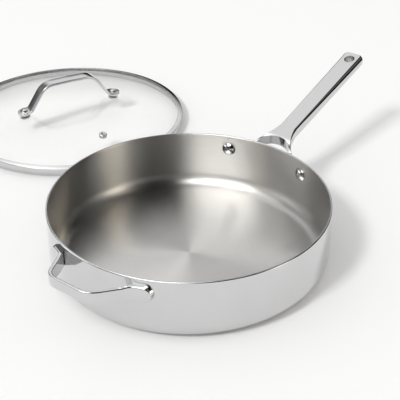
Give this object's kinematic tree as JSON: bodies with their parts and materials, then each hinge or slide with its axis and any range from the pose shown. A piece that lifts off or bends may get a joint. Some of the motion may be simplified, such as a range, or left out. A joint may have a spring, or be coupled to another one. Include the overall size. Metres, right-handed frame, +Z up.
{
  "type": "saute pan with lid",
  "caption": "Straight-sided steel saute pan with a forked long handle, a loop helper handle and a domed glass lid with a strap handle, lying beside the pan.",
  "frame": {"origin": "centre of the pan's flat base, on the table", "axes": "+Z up, +X from the pan's centre along the long handle, +Y to the left of that handle, where the lid lies"},
  "size_m": [0.4925, 0.5899, 0.1135],
  "materials": {
    "polished_steel": "mirror-polished stainless steel",
    "satin_steel": "spun satin stainless steel",
    "aluminium_core": "plain rolled aluminium, seen only as a line in the rim",
    "clear_glass": "clear tempered glass",
    "grey_silicone": "matt grey silicone"
  },
  "bodies": {
    "pan": {"pan_outer_ply": "polished_steel", "pan_core_ply": "aluminium_core", "pan_inner_ply": "satin_steel", "long_handle": "polished_steel", "long_handle_rivet_left": "polished_steel", "long_handle_rivet_right": "polished_steel", "helper_handle": "polished_steel", "helper_handle_rivet_left": "polished_steel", "helper_handle_rivet_right": "polished_steel"},
    "lid": {"lid_glass": "clear_glass", "lid_rim_band": "polished_steel", "lid_handle": "polished_steel", "lid_handle_rivet_left": "polished_steel", "lid_handle_rivet_right": "polished_steel", "lid_handle_washer_left": "polished_steel", "lid_handle_washer_right": "polished_steel", "lid_glass_bush_left": "grey_silicone", "lid_glass_bush_right": "grey_silicone", "lid_backing_washer_left": "polished_steel", "lid_backing_washer_right": "polished_steel", "vent_eyelet": "polished_steel", "vent_backing_ring": "polished_steel"}
  },
  "joints": [
    {"name": "lid_lift", "type": "slide", "parent": "pan", "child": "lid", "axis": [0, 0, 1], "range_m": [0, 0.2]}
  ]
}
